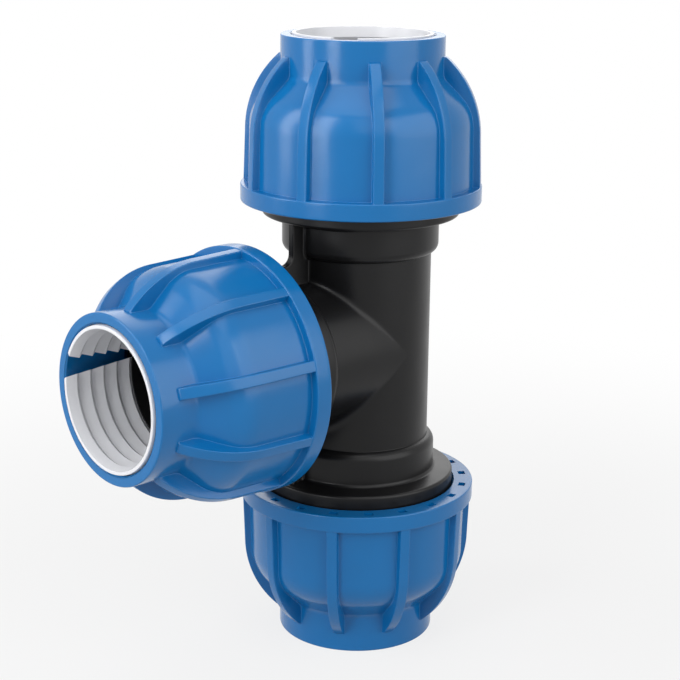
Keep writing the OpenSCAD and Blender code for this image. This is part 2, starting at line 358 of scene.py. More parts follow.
def outward(points, faces, caps=()):
    """A shell (points, four-sided faces, end faces) that looks outwards. Its faces are turned round if
    its volume, the sum over them of the tetrahedra that they make with its middle, is negative."""
    points = points.reshape(-1, 3)
    a, b, c, d = (points[faces[:, k]] - points.mean(0) for k in range(4))
    volume = (a * (np.cross(b, c) + np.cross(c, d))).sum()
    way = 1 if volume > 0 else -1
    return points, faces[:, ::way], [cap[::way] for cap in caps]


def revolved(outline, port, columns=144):
    """A closed outline turned round a port's axis."""
    turn = np.arange(columns) * TURN / columns
    points = placed(polar(outline[:, :1], turn, outline[:, 1:]), port)
    return outward(points, quads(len(outline), columns, join_rows=True))


def carried(points):
    """A closed shell from a section carried along a path: one row for each place of the section, with
    the first and the last one filled."""
    rows, columns = points.shape[:2]
    caps = [range(columns)[::-1], range((rows - 1) * columns, rows * columns)]
    return outward(points, quads(rows, columns), caps)


def put(name, data):
    """A new object in the scene."""
    made = bpy.data.objects.new(name, data)
    bpy.context.scene.collection.objects.link(made)
    return made


# Edges sharper than this stay sharp, and points nearer than this are one
SHARP_DEG = 38
MERGE_GAP = 0.002 * MM


def merge_doubles(mesh):
    """Joins points that lie in one place, where grids meet."""
    bm = bmesh.new()
    bm.from_mesh(mesh)
    bmesh.ops.remove_doubles(bm, verts=bm.verts, dist=MERGE_GAP)
    bmesh.ops.recalc_face_normals(bm, faces=bm.faces)
    bm.to_mesh(mesh)
    bm.free()


def make_piece(node, shells, material, join=False):
    """One object from shells, in place of a CAD node, on the node's body."""
    starts = np.cumsum([0] + [len(points) for points, _, _ in shells])
    faces = []
    for (_, sides, caps), start in zip(shells, starts):
        faces += (sides + start).tolist() + [[k + start for k in cap] for cap in caps]
    mesh = bpy.data.meshes.new(node + "_moulding")
    mesh.from_pydata(np.concatenate([shell[0] for shell in shells]), [], faces, shade_flat=False)
    if join:
        merge_doubles(mesh)
    if mesh.validate(verbose=True):
        raise RuntimeError(f"{node}: the grid has faces that can't be used")
    mesh.set_sharp_from_angle(angle=math.radians(SHARP_DEG))
    mesh.materials.append(material)
    piece = put(mesh.name, mesh)
    shading = piece.modifiers.new("Flats shade flat", "WEIGHTED_NORMAL")
    shading.keep_sharp = True
    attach(piece, frame["nodes"][node]["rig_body"])
    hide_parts(node)


# The body

# Longest stretch of an arm's outline that stays undivided
ARM_SIDE = 3.5 * MM

# How far an outline begins before its first corner, on a wall that goes straight on
RUN_IN = 1 * MM

# How strongly an arm's rows crowd towards the crease, as a power
CROWDING = 1.4

# How many times the points near the crease are moved towards its rounded shape
SETTLING = 6

# Where a rounded edge of a web needs rows, as shares of its radius
WEB_EDGE_STEPS = np.array([0, 0.03, 0.13, 0.3, 0.6, 1])

# Least share of its width that a fillet keeps, and what counts as a rounding error
LEAST_SHARE = 1e-6
ROUNDING_ERROR = 1e-9


def crease_station(port, turn, r):
    """Where an arm of that radius begins: on the crease, whose station is the radius times the sine
    of the angle from the line where all the cylinders touch. Behind the branch, the two arms of the
    run meet in the middle."""
    if port == "branch":
        return r * np.abs(np.sin(turn))
    side = -1 if port == "top" else 1
    return r * np.maximum(side * np.sin(turn), 0)


def soften_crease(points, b):
    """Rounds the crease between run and branch.

    The distances to the two barrels, run and branch, are joined by a smooth minimum: their smaller one
    less w h h / 4, with h = 1 - |run - branch| / w. Each point moves down that field's slope until the
    field is 0. The width w is the radius of a rolling ball times the squared sine of the angle at
    which the barrels cross there, 1 - (x / barrel radius) squared, so that the fillet dies out at both
    sides."""
    p = points.reshape(-1, 3) - (0, 0, CENTRE_Z)
    near = p[:, 1] < -ROUNDING_ERROR
    q = p[near]
    for _ in range(SETTLING):
        x, y, z = q.T
        to_run, to_branch = np.hypot(x, y), np.hypot(x, z)
        run, branch = to_run - b.barrel_r, to_branch - b.barrel_r
        ball = b.lower_ball + (b.upper_ball - b.lower_ball) * (1 + np.clip(z / b.barrel_r, -1, 1)) / 2
        w = ball * np.clip(1 - (x / b.barrel_r) ** 2, LEAST_SHARE, 1)
        h = np.clip(1 - np.abs(run - branch) / w, 0, 1)
        field = np.minimum(run, branch) - w * h * h / 4
        share = (0.5 + np.clip((branch - run) / (2 * w), -0.5, 0.5))[:, None]
        zero = np.zeros_like(x)
        slope = share * np.stack([x / to_run, y / to_run, zero], -1)
        slope += (1 - share) * np.stack([x / to_branch, zero, z / to_branch], -1)
        q = q - (field / (slope * slope).sum(1))[:, None] * slope
    p[near] = q
    return (p + (0, 0, CENTRE_Z)).reshape(points.shape)


def arm_stations(b):
    """Where an arm's flare, collar and threaded end begin."""
    flare_s = b.barrel_len + b.neck_len
    collar_s = flare_s + b.flare_len
    return flare_s, collar_s, collar_s + b.collar_len


def arm_outside(b, step_points=9):
    """Corners of an arm's outline, from the barrel over the step, the neck and the flare to the end of
    the collar. The step is one arc that ends level with the neck. It starts at the angle whose cosine
    is 1 less the step's height over the arc's radius."""
    flare_s, collar_s, spigot_s = arm_stations(b)
    first = math.acos(1 - (b.neck_r - b.barrel_r) / b.step_round)
    step = [
        (b.neck_r - b.step_round * (1 - math.cos(turn)),
         b.barrel_len + b.step_round * (math.sin(first) - math.sin(turn)))
        for turn in np.linspace(first, 0, step_points)
    ]
    return [
        (b.barrel_r, b.barrel_len - RUN_IN),
        (*step[0], b.edge / 2),
        *step[1:],
        (b.neck_r, flare_s, b.flare_round, 6),
        (COLLAR_R, collar_s, b.collar_round, 6),
        (COLLAR_R, spigot_s, b.edge),
    ]


def body_arm(port, b, t, columns=192, crease_rows=16):
    """One arm as a grid from the crease out to the thread's end and back in to the waterway's
    crease."""
    seat_s = SPIGOT_END_S - b.seat_depth
    stop_s = seat_s - b.socket_len
    outline = rounded([
        *arm_outside(b),
        (t.core_r, arm_stations(b)[2], b.edge),
        (t.core_r, SPIGOT_END_S, 2 * b.edge),
        (b.seat_r, SPIGOT_END_S, b.edge),
        (b.seat_r, seat_s, b.edge),
        (SOCKET_R, seat_s, b.edge),
        (SOCKET_R, stop_s, b.edge),
        (b.flow_r, stop_s, b.edge),
        (b.flow_r, stop_s - 2 * b.edge),
    ])
    outline = divided(outline, ARM_SIDE)
    turn = np.arange(columns) * TURN / columns
    share = (np.arange(crease_rows) / crease_rows)[:, None] ** CROWDING
    outer = crease_station(port, turn, b.barrel_r)
    inner = crease_station(port, turn, b.flow_r)
    barrel = polar(b.barrel_r, turn, outer + share * (outline[0, 1] - outer))
    middle = polar(outline[:, :1], turn, outline[:, 1:])
    bore = polar(b.flow_r, turn, inner + share[::-1] * (outline[-1, 1] - inner))
    barrel, middle, bore = (placed(grid, port) for grid in (barrel, middle, bore))
    points = np.concatenate([soften_crease(barrel, b), middle, bore])
    return points.reshape(-1, 3), quads(len(points), columns), ()


def beside_corner(r, bend, end_s, straight=40, steps=12):
    """A line along run and branch at that distance from their axes, from one end station to the other,
    with that radius in the corner. Its points are (distance from the run's axis, from the branch's)."""
    along = np.linspace(end_s, r + bend, straight)[:-1, None]
    along = np.concatenate([np.full_like(along, r), along], 1)
    turn = np.radians(np.linspace(180, 270, steps))
    corner = r + bend + bend * np.stack([np.cos(turn), np.sin(turn)], -1)
    return np.concatenate([along, corner, along[::-1, ::-1]])


def web_shell(b, side, inner_rows=44):
    """The web in the corner above (side 1) or below (side -1) the branch, as a closed plate.

    Each row crosses it from the free edge to a line inside the wall and comes back on the other face.
    Half its thickness is the web's, less a quarter circle at the free edge, plus another where the
    web stands on an arm. The height over an arm is measured across its outline: the distance from
    the axis less the outline's radius, over the root of 1 + the outline's slope squared."""
    _, collar_s, spigot_s = arm_stations(b)
    end_s = (collar_s + spigot_s) / 2
    reach = b.neck_r + b.web_h
    free = beside_corner(reach, b.web_round, end_s)[:, None]
    across = beside_corner(b.barrel_r - 2 * b.web_root, b.web_root, end_s)[:, None] - free
    span = np.hypot(*across.T).T
    near = b.edge * WEB_EDGE_STEPS / span
    far = near[:, -1:] + (1 - near[:, -1:]) * np.arange(1, inner_rows + 1) / inner_rows
    points = free + np.concatenate([near, far], 1)[..., None] * across
    bend = reach + b.web_round
    from_edge = np.hypot(*np.maximum(bend - points, 0).T).T - b.web_round
    outline = rounded(arm_outside(b))
    slope = np.gradient(outline[:, 0], outline[:, 1])
    over = [
        (points[..., k] - np.interp(points[..., 1 - k], outline[:, 1], outline[:, 0]))
        / np.sqrt(1 + np.interp(points[..., 1 - k], outline[:, 1], slope) ** 2)
        for k in (0, 1)
    ]
    left = b.edge - np.clip(from_edge, 0, b.edge)
    low = b.web_root - np.clip(np.minimum(*over), 0, b.web_root)
    half = b.web_t / 2 - b.edge + np.sqrt(b.edge**2 - left**2)
    half += b.web_root - np.sqrt(b.web_root**2 - low**2)
    face = np.stack([half, -points[..., 0], side * points[..., 1] + CENTRE_Z], -1)
    return carried(np.concatenate([face, face[:, ::-1] * (-1, 1, 1)], 1))


# The threads

# How deep a thread's ridge stands in its wall, and how far it stays from the wall's back and front
OVERLAP = 0.3 * MM
THREAD_BACK = 1 * MM
THREAD_FRONT = 2 * MM

# Sections in one turn of a thread, the turn over which it runs out, and its size at the very end
THREAD_STEPS = 96
RUN_OUT = TURN / 6
LEAST_SIZE = 0.03

# The phase that puts a nut's ridge between the body's
BETWEEN_RIDGES = TURN / 2


def thread_ridge(t, base_r, crest_r, first_s, last_s, port, phase=0):
    """A thread as a ridge that overlaps the wall which carries it.

    Its section, a trapezoid with a rounded crest, is carried along a helix that climbs one pitch a
    turn. Over the run-out at either end it grows out of the wall and sinks back, along a curve that
    starts and ends level. Ridges with the same phase lie on the same helix."""
    height = crest_r - base_r
    half_crest = t.crest_w / 2
    half_base = half_crest + abs(height) * math.tan(t.flank)
    section = rounded([
        (0, -half_base), (height, -half_crest, t.crest_round), (height, half_crest, t.crest_round),
        (0, half_base),
    ], steps=3)
    whole = (last_s - first_s) / t.pitch * TURN
    turn = np.linspace(0, whole, round(whole / TURN * THREAD_STEPS) + 1)[:, None]
    size = np.clip(np.minimum(turn, whole - turn) / RUN_OUT, LEAST_SIZE, 1)
    size = size * size * (3 - 2 * size)
    start = first_s / t.pitch * TURN + phase
    return carried(placed(polar(
        base_r + section[:, 0] * size,
        turn + start,
        first_s + t.pitch * turn / TURN + section[:, 1] * size,
    ), port))


# The nuts

# How far the flanks of ribs and pockets lean to each side of their middle
WALL_LEAN = 0.06 * MM

# Points across a pocket: which of its two walls, and whether just outside it (1) or just in it (-1)
POCKET_STEPS = [(-1, 1), (-1, -1), (1, -1), (1, 1)]

# Where the ribs' blunt ends need rows, as shares of their rounding
BLUNT_STEPS = (1, 0.6, 0.3, 0.1, 0.02, 0)

# Columns from a rib's middle to the middle of the wall beside it
HALF_SECTOR = 16

# Longest stretch of a nut's outline that stays undivided, outside and inside
OUTER_SIDE = 1.3 * MM
INNER_SIDE = 4 * MM


def rib_radius(s, n):
    """Radius over the ribs at each station: a slight taper, then an arc, which at the blunt end falls
    to nothing as a quarter of an ellipse. Returns 0 where there is no rib."""
    front_r = n.wall_r + n.rib_h
    round_s = MOUTH_S - n.rib_round_len
    centre_r = front_r - n.rib_round
    end_s = rib_end_station(n)
    rim_front_s = NUT_S + n.rim_len
    taper = front_r + n.draft * np.clip((round_s - s) / (round_s - rim_front_s), 0, 1)
    arc = centre_r + np.sqrt(np.maximum(n.rib_round**2 - np.maximum(s - round_s, 0) ** 2, 0))
    top = np.where(s < round_s, taper, arc)
    fall = np.sqrt(np.clip((end_s - s) / n.rib_edge, 0, 1))
    on_rib = (s > rim_front_s - n.edge) & (s < end_s)
    return np.where(on_rib, n.mouth_r + (top - n.mouth_r) * fall, 0)


def rib_end_station(n):
    """Where the rib's arc has come down to the height of its blunt end."""
    centre_r = n.wall_r + n.rib_h - n.rib_round
    drop = n.mouth_r + n.rib_end_h - centre_r
    return MOUTH_S - n.rib_round_len + math.sqrt(n.rib_round**2 - drop**2)


def nut_outline(n, t):
    """The nut's outline between its ribs, from the rim's back over the wall, slope and mouth collar and
    back inside over the cone and the thread's wall. Returns it with the number of its outer points."""
    rim_front_s = NUT_S + n.rim_len
    slope_foot_s = MOUTH_S - n.mouth_len
    slope_top_s = slope_foot_s - (n.wall_r - n.mouth_r) / math.tan(n.slope)
    end_s = rib_end_station(n)
    pocket = [n.pocket_r + side * (n.pocket_t / 2 + k * WALL_LEAN) for side, k in POCKET_STEPS]
    blunt_end = [(n.mouth_r, end_s - k * n.rib_edge) for k in BLUNT_STEPS]
    outside = divided(rounded([
        (n.rim_bore_r, NUT_S + RUN_IN),
        (n.rim_bore_r, NUT_S, n.edge / 2),
        *[(r, NUT_S) for r in pocket],
        (RIM_R, NUT_S, n.edge),
        (RIM_R, rim_front_s, n.edge),
        (n.wall_r + n.draft, rim_front_s + 2 * WALL_LEAN, n.rib_root, 5),
        (n.wall_r, slope_top_s, n.slope_round, 14),
        (n.mouth_r, slope_foot_s, n.foot_round, 7),
        *blunt_end,
        (n.mouth_r, end_s + n.rib_edge),
        (n.mouth_r, MOUTH_S, n.edge),
        (n.mouth_bore_r + n.edge, MOUTH_S),
    ]), OUTER_SIDE)
    cone_s = RING_BACK_S + n.cone_back
    wide_r = n.mouth_bore_r + (MOUTH_S - cone_s) * math.tan(n.cone)
    counterbore_s = NUT_S + n.counterbore_len
    inside = divided(rounded([
        (n.mouth_bore_r + 2 * n.edge, MOUTH_S),
        (n.mouth_bore_r + n.edge, MOUTH_S, n.edge / 2),
        (n.mouth_bore_r + n.edge * math.tan(n.cone), MOUTH_S - n.edge, n.edge / 2),
        (wide_r, cone_s, n.edge),
        (t.nut_root_r, cone_s - n.shoulder_len, n.edge),
        (t.nut_root_r, counterbore_s, n.edge / 2),
        (n.rim_bore_r, counterbore_s - (n.rim_bore_r - t.nut_root_r), n.edge / 2),
        (n.rim_bore_r, NUT_S + RUN_IN),
    ]), INNER_SIDE)
    return np.concatenate([outside, inside[1:-1]]), len(outside)


def sideways(n, r, rib_r):
    """Columns of half a sector where the rib stands, from its middle to the middle of the wall.

    Each column has a radius and a distance from the rib's middle plane: over the flat top, round its
    edge, down the flank, round the root and on along the wall. Returns radii and angles."""
    quarter = np.radians([30, 60, 90])
    height = rib_r - r
    edge = np.minimum(n.rib_edge, height / 2)
    root = np.minimum(n.rib_root, height / 2)
    top_w = n.rib_w / 2 - WALL_LEAN - n.rib_edge
    aside = np.concatenate([
        [0, top_w / 2, top_w],
        top_w + n.rib_edge * np.sin(quarter),
        [n.rib_w / 2, n.rib_w / 2 + WALL_LEAN],
        n.rib_w / 2 + WALL_LEAN + n.rib_root * (1 - np.cos(quarter)),
    ])
    radii = np.concatenate([
        np.repeat(rib_r, 3, 1),
        rib_r - edge * (1 - np.cos(quarter)),
        (rib_r - edge + r + root) / 2,
        r + root,
        r + root * (1 - np.sin(quarter)),
    ], 1)
    on_rib = np.arcsin(aside / radii)
    left = HALF_SECTOR - radii.shape[1] + 1
    share = np.arange(1, left + 1) / left
    on_wall = on_rib[:, -1:] + (math.pi / n.rib_count - on_rib[:, -1:]) * share
    return np.concatenate([radii, np.repeat(r, left, 1)], 1), np.concatenate([on_rib, on_wall], 1)


def pocket_columns(n, r):
    """Angles of half a sector's columns where the rim has its pockets, one behind each rib and one
    between ribs, with two columns at each pocket's side, and which columns lie in a pocket."""
    half = n.pocket_w / 2
    first = np.arcsin(np.array([0, half / 2, half - WALL_LEAN, half + WALL_LEAN]) / r)
    last = math.pi / n.rib_count - first[:, ::-1]
    between = HALF_SECTOR + 1 - 2 * first.shape[1]
    share = np.arange(1, between + 1) / (between + 1)
    middle = first[:, -1:] + (last[:, :1] - first[:, -1:]) * share
    column = np.arange(HALF_SECTOR + 1)
    return np.concatenate([first, middle, last], 1), (column < 3) | (column > HALF_SECTOR - 3)


def mirrored(half, sign=1):
    """A whole sector's columns from those of its half, whose first one is the rib's middle."""
    return np.concatenate([sign * half[:, :0:-1], half[:, :-1]], 1)


def blended_turns(n, s, outside, rib_turns, pocket_turns):
    """Angles of half a sector's columns in every row. They follow the ribs outside and the pockets
    behind, are even inside, and pass from one to the other along the rim, the mouth collar and the
    counterbore."""
    even_turns = math.pi / n.rib_count * np.arange(HALF_SECTOR + 1) / HALF_SECTOR
    collar_len = MOUTH_S - n.edge - rib_end_station(n)
    front = np.clip((s - NUT_S - n.edge) / (n.rim_len - 2 * n.edge), 0, 1)
    rib_share = outside * front * np.clip((MOUTH_S - n.edge - s) / collar_len, 0, 1)
    behind = np.clip((NUT_S + n.counterbore_len - s) / n.counterbore_len, 0, 1)
    pocket_share = np.where(outside, 1 - front, behind)
    even_share = 1 - rib_share - pocket_share
    return rib_share * rib_turns + pocket_share * pocket_turns + even_share * even_turns


def nut_shell(port, n, t, rib_turn):
    """A nut as one closed grid. Rows follow its outline, and columns go round it, half a sector
    mirrored and repeated for every rib. In a pocket the points are moved in by its depth."""
    outline, outer = nut_outline(n, t)
    r, s = outline[:, :1], outline[:, 1:]
    outside = np.arange(len(outline))[:, None] < outer
    rib_r = np.where(outside, np.maximum(rib_radius(s, n), r), r)
    radii, rib_turns = sideways(n, r, rib_r)
    pocket_turns, in_pocket = pocket_columns(n, r)
    half = blended_turns(n, s, outside, rib_turns, pocket_turns)
    across = np.abs(r - n.pocket_r) - n.pocket_t / 2
    sunk = (np.abs(s - NUT_S) < WALL_LEAN) & (across < 0)
    depth = n.pocket_depth * (sunk & in_pocket)
    ribs = np.arange(n.rib_count)[None, :, None] * TURN / n.rib_count + rib_turn
    turn = (mirrored(half, -1)[:, None, :] + ribs).reshape(len(r), -1)
    all_r, all_s = (np.tile(mirrored(part), (1, n.rib_count)) for part in (radii, s + depth))
    points = placed(polar(all_r, turn, all_s), port)
    return outward(points, quads(*points.shape[:2], join_rows=True))


# The clinch rings, bushes and O-rings

# Middle of an edge that is rounded in two steps: 1 less the cosine of 45 degrees, as a round number
EDGE_MIDDLE = 0.3


def ring_outline(g, n, front_s):
    """Section of a clinch ring: a cone outside, and inside a sloped lead-in and teeth, each of which
    falls back to the root behind its tip and rises slowly to the next tip."""
    front_r = RING_R - (front_s - RING_BACK_S) * math.tan(n.cone)
    root_r = SOCKET_R + g.tooth_h
    teeth = []
    for i in range(g.tooth_count + 1):
        s = MOUTH_S - g.tooth_start - i * g.tooth_pitch
        teeth += [(SOCKET_R, s, g.tip, 3), (root_r, s - g.tooth_back, g.edge, 3)]
    return rounded([
        (RING_R, RING_BACK_S, g.edge),
        (front_r, front_s, g.edge),
        (SOCKET_R + g.lead_h, front_s, g.edge),
        *teeth,
        (root_r, RING_BACK_S, g.edge),
    ], steps=3, closed=True)


def ring_shell(port, g, n, slot_turn, columns=150):
    """A clinch ring: its section carried round the arc that the slot leaves.

    Each side of the slot is a plane. Its inner width shrinks evenly from front to back, and it opens
    outwards by the flare: at radius r it lies at the flare plus the arcsine of (half the width times
    the flare's cosine, less the inner radius times the flare's sine) over r. The first and the last
    section are drawn in by the tip's radius, against their normals, which rounds the slot's edges. The
    sign of the section's area, the sum over its sides, says to which side its normals point."""
    front_s = RING_FRONT_S[port]
    outline = ring_outline(g, n, front_s)
    side = np.roll(outline, -1, 0) - np.roll(outline, 1, 0)
    normal = np.stack([side[:, 1], -side[:, 0]], -1) / np.hypot(*side.T)[:, None]
    r, s = outline.T
    next_r, next_s = np.roll(outline, -1, 0).T
    normal *= math.copysign(g.tip, (r * next_s - next_r * s).sum())
    ends = np.array([1, EDGE_MIDDLE] + [0] * (columns - 4) + [EDGE_MIDDLE, 1])[:, None]
    r = outline[:, 0] - normal[:, 0] * ends
    s = outline[:, 1] - normal[:, 1] * ends
    behind = (front_s - s) / (front_s - RING_BACK_S)
    half = (g.slot_front_w + (g.slot_back_w - g.slot_front_w) * behind) / 2
    open_by = half * math.cos(g.slot_flare) - SOCKET_R * math.sin(g.slot_flare)
    aside = g.slot_flare + np.arcsin(open_by / r)
    lead = g.tip / SOCKET_R * np.array([0, EDGE_MIDDLE, 1])
    middle = np.linspace(0, 1, columns - 4)[1:-1]
    share = np.concatenate([[0, 0, 0], middle, [1, 1, 1]])[:, None]
    nudge = np.concatenate([lead, np.zeros(len(middle)), -lead[::-1]])[:, None]
    turn = aside + share * (TURN - 2 * aside) + nudge + slot_turn
    return carried(placed(polar(r, turn, s), port))


def bush_outline(p, g):
    """Section of a bush: a tail in the seat, a wider head in front of it, and a thin nose that
    reaches into the clinch ring's plain tail, up to the foot of its last tooth."""
    head_s = BUSH_END_S - p.bush_head_len
    nose_s = MOUTH_S - g.tooth_start - g.tooth_count * g.tooth_pitch - g.tooth_back
    nose_r = SOCKET_R + g.tooth_h - p.nose_gap
    return rounded([
        (p.bush_in_r, BUSH_TAIL_S, p.bush_edge / 2),
        (p.bush_tail_r, BUSH_TAIL_S, p.bush_edge),
        (p.bush_tail_r, head_s, p.bush_edge / 2),
        (BUSH_HEAD_R, head_s, p.bush_edge / 2),
        (BUSH_HEAD_R, BUSH_END_S, p.bush_edge),
        (nose_r, BUSH_END_S, p.nose_edge),
        (nose_r, nose_s, p.nose_edge),
        (p.bush_in_r, nose_s, p.nose_edge),
    ], closed=True)


def seal_outline(p, points=48):
    """Section of an O-ring: a circle with a fine ridge, a bell curve, at its inner and outer middle."""
    thick = (SEAL_FRONT_S - SEAL_BACK_S) / 2
    middle_s = (SEAL_FRONT_S + SEAL_BACK_S) / 2
    turn = np.arange(points) * TURN / points
    ridge = p.flash_h * np.exp(-((np.sin(turn) * thick / p.flash_w) ** 2))
    r = SEAL_OUT_R - thick + (thick - p.flash_h + ridge) * np.cos(turn)
    return np.stack([r, middle_s + (thick - p.flash_h) * np.sin(turn)], -1)


# Materials


def add(tree, kind, values=None, links=None, **own):
    """Adds a node: values go on its sockets, links join sockets to outputs, own are its other
    settings."""
    made = tree.nodes.new(kind)
    for name, value in own.items():
        setattr(made, name, value)
    for name, value in (values or {}).items():
        made.inputs[name].default_value = value
    for name, source in (links or {}).items():
        tree.links.new(source, made.inputs[name])
    return made


def emptied(owner):
    """The node tree of a new material or world, with nothing in it."""
    owner.use_nodes = True
    owner.node_tree.nodes.clear()
    return owner.node_tree


# Real scales of a moulding's unevenness. The grain is really about 0.1 mm and is drawn coarser, so
# that it shows at all. POLISH is how far the roughness varies up and down.
CLOUD = 22 * MM
PATCH = 9 * MM
SINK = 14 * MM
SINK_DEPTH = 0.12 * MM
GRAIN = 0.55 * MM
POLISH = 0.05


def moulded(name, colour, roughness, ior, shade, grain, gloss=0.5, **extra):
    """The finish of a moulded piece.

    Pigment that flowed unevenly makes soft clouds, polish of the mould varies in patches, the wall
    sinks a little, and the mould's fine texture is a grain. shade is how far the clouds lighten and
    darken the colour, and grain is the height of the texture. gloss is the specular level, lower on
    the dark plastics, which the white surroundings would turn pale. extra are more of the shader's
    values."""
    material = bpy.data.materials.new(name)
    tree = emptied(material)
    place = add(tree, "ShaderNodeTexCoord").outputs["Object"]
    clouds, patches, sink, texture = (
        add(
            tree, "ShaderNodeTexNoise", {"Scale": 1 / size, "Detail": detail}, {"Vector": place}
        ).outputs["Fac"]
        for size, detail in ((CLOUD, 3), (PATCH, 2), (SINK, 1), (GRAIN, 2))
    )
    dark, light = (tuple(c * k for c in colour) + (1,) for k in (1 - shade, 1 + shade))
    base = add(tree, "ShaderNodeMix", {6: dark, 7: light}, {0: clouds}, data_type="RGBA")
    polish = add(
        tree, "ShaderNodeMapRange", {"To Min": roughness - POLISH, "To Max": roughness + POLISH},
        {"Value": patches},
    )
    waves = add(
        tree, "ShaderNodeBump", {"Strength": 1, "Distance": SINK_DEPTH}, {"Height": sink}
    )
    skin = add(
        tree, "ShaderNodeBump", {"Strength": 1, "Distance": grain},
        {"Height": texture, "Normal": waves.outputs["Normal"]},
    )
    shader = add(
        tree, "ShaderNodeBsdfPrincipled", {"IOR": ior, "Specular IOR Level": gloss, **extra},
        {
            "Base Color": base.outputs[2],
            "Roughness": polish.outputs["Result"],
            "Normal": skin.outputs["Normal"],
        },
    )
    add(tree, "ShaderNodeOutputMaterial", links={"Surface": shader.outputs["BSDF"]})
    return material


def blue_polypropylene(finishes):
    """Pigmented polypropylene, injection moulded: a satin skin with broad soft highlights."""
    return moulded(
        "blue_polypropylene", finishes.nut, roughness=0.21, ior=1.49, shade=0.05,
        grain=0.003 * MM, gloss=0.36,
    )


def black_polypropylene(finishes):
    """Carbon-black polypropylene, injection moulded: deep black with a grey satin sheen."""
    return moulded(
        "black_polypropylene", finishes.body, roughness=0.33, ior=1.49, shade=0.12,
        grain=0.004 * MM, gloss=0.24,
    )


def bush_polypropylene(finishes):
    """The same black polypropylene from a plainer mould, a little duller."""
    return moulded(
        "bush_polypropylene", finishes.bush, roughness=0.46, ior=1.49, shade=0.1,
        grain=0.01 * MM, gloss=0.2,
    )


def white_acetal(finishes):
    """Natural acetal, injection moulded: milky white, smooth, light sinks into it a little."""
    milky = {"Subsurface Weight": 0.15, "Subsurface Radius": (1, 1, 1), "Subsurface Scale": 0.8 * MM}
    return moulded(
        "white_acetal", finishes.ring, roughness=0.34, ior=1.48, shade=0.02, grain=0.004 * MM,
        **milky,
    )


def nitrile_rubber(finishes):
    """Black nitrile rubber, compression moulded: dull, with a fine matt grain."""
    return moulded(
        "nitrile_rubber", finishes.seal, roughness=0.6, ior=1.52, shade=0.15, grain=0.015 * MM
    )


# Operators


def settings():
    """What the sidebar is set to."""
    return bpy.context.scene.tee


class TEE_OT_body(Operator):
    """Build the black body: three arms, a web on each side of the branch, and the threads"""

    bl_idname = "tee.body"
    bl_label = "Body"

    def execute(self, context):
        b, t = settings().body, settings().thread
        first_s, last_s = arm_stations(b)[2] + THREAD_BACK, SPIGOT_END_S - THREAD_FRONT
        shells = [body_arm(port, b, t) for port in PORT_AXES]
        shells += [web_shell(b, side) for side in (1, -1)]
        shells += [
            thread_ridge(t, t.core_r - OVERLAP, t.crest_r, first_s, last_s, port)
            for port in PORT_AXES
        ]
        black = black_polypropylene(settings().finishes)
        make_piece("tee_body", shells, black, join=True)
        return {"FINISHED"}


class TEE_OT_nuts(Operator):
    """Build the three blue nuts with their ribs, rim pockets, cone and thread"""

    bl_idname = "tee.nuts"
    bl_label = "Nuts"

    def execute(self, context):
        n, t, turns = settings().nut, settings().thread, settings().turns
        blue = blue_polypropylene(settings().finishes)
        first_s, last_s = NUT_S + n.counterbore_len + THREAD_BACK, RING_BACK_S - THREAD_FRONT
        for port in PORT_AXES:
            shell = nut_shell(port, n, t, getattr(turns, port + "_rib"))
            ridge = thread_ridge(
                t, t.nut_root_r + OVERLAP, t.nut_crest_r, first_s, last_s, port, BETWEEN_RIDGES
            )
            make_piece(port + "_nut", [shell, ridge], blue)
        return {"FINISHED"}


class TEE_OT_clinch_rings(Operator):
    """Build the three white clinch rings with their teeth and slots"""

    bl_idname = "tee.clinch_rings"
    bl_label = "Clinch rings"

    def execute(self, context):
        white = white_acetal(settings().finishes)
        for port in PORT_AXES:
            slot = getattr(settings().turns, port + "_slot")
            shell = ring_shell(port, settings().ring, settings().nut, slot)
            make_piece(port + "_clinch_ring", [shell], white)
        return {"FINISHED"}


class TEE_OT_seals(Operator):
    """Build the bushes and the O-rings behind the clinch rings"""

    bl_idname = "tee.seals"
    bl_label = "Bushes and O-rings"

    def execute(self, context):
        p = settings().seal
        plastic = bush_polypropylene(settings().finishes)
        rubber = nitrile_rubber(settings().finishes)
        for port in PORT_AXES:
            bush = revolved(bush_outline(p, settings().ring), port)
            make_piece(port + "_bush", [bush], plastic)
            make_piece(port + "_o_ring", [revolved(seal_outline(p), port)], rubber)
        return {"FINISHED"}


class TEE_OT_stage(Operator):
    """Set up the pale floor, the soft lamps, the white surroundings and the camera"""

    bl_idname = "tee.stage"
    bl_label = "Stage"

    def execute(self, context):
        make_floor(settings().finishes)
        make_surroundings()
        make_lamps(settings().view)
        make_camera(settings().view)
        context.scene.view_settings.view_transform = "Standard"
        return {"FINISHED"}


def seen_directly(tree):
    """1 for rays from the camera, from glossy surfaces and through glass, else 0."""
    path = add(tree, "ShaderNodeLightPath").outputs
    either = add(
        tree, "ShaderNodeMath", links={0: path["Is Camera Ray"], 1: path["Is Glossy Ray"]},
        operation="MAXIMUM",
    )
    return add(
        tree, "ShaderNodeMath", links={0: either.outputs[0], 1: path["Is Transmission Ray"]},
        operation="MAXIMUM",
    ).outputs[0]


# The floor, as white as GLOW_NEAR up to FADE_FROM from the tee, and wholly white from FADE_TO on
FLOOR_R = 3.0
FLOOR_POINTS = 64
GLOW_NEAR = 0.8
FADE_FROM = 0.12
FADE_TO = 0.5

# Strength of the even light from the surroundings
ROOM_LIGHT = 0.1

